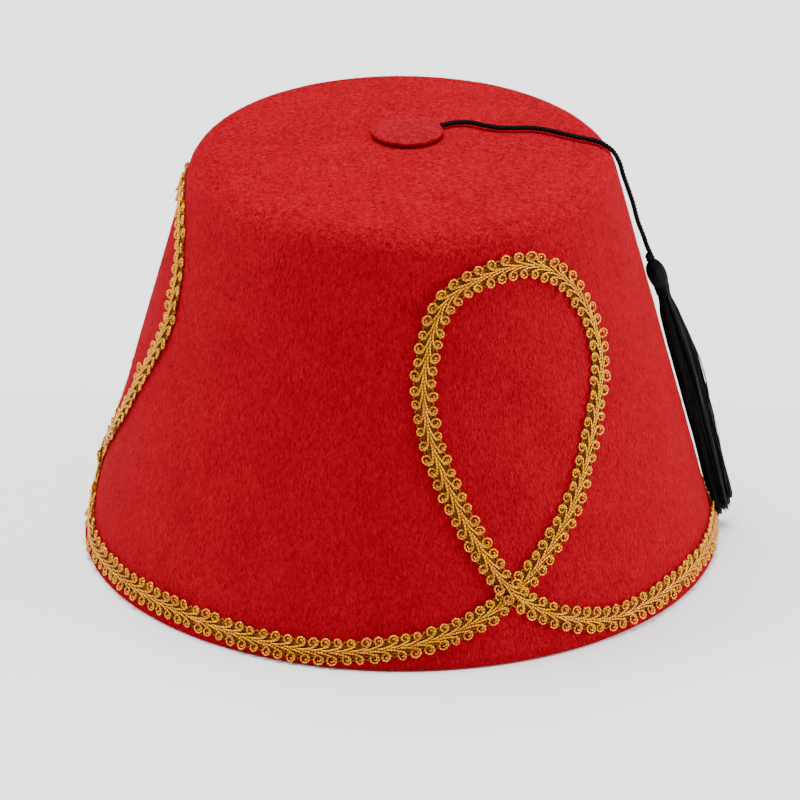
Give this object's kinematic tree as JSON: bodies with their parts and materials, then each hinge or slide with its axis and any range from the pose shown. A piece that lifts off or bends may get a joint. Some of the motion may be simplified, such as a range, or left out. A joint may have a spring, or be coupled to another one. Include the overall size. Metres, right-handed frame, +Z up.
{
  "type": "fez hat",
  "caption": "Tapered felt fez, hollow and open below, with looped scroll braid, a button on top and a cord with a tassel over one side.",
  "frame": {"origin": "middle of the open rim, on the level that the hat stands on", "axes": "+Z up through the middle of the top, -Y to the front, +X to the side where the tassel hangs"},
  "size_m": [0.1942, 0.1902, 0.1299],
  "materials": {
    "felt": "soft pressed wool felt with short nap",
    "button_felt": "cut felt disc, slightly duller",
    "braid_gold": "shiny gold thread, scroll braid",
    "cord_black": "twisted rayon cord, faint sheen",
    "tassel_black": "straight rayon threads, faint sheen"
  },
  "bodies": {
    "root": {"crown": "felt", "button": "button_felt", "braid": "braid_gold", "cord": "cord_black", "tassel_knot": "cord_black", "tassel": "tassel_black"}
  },
  "joints": []
}
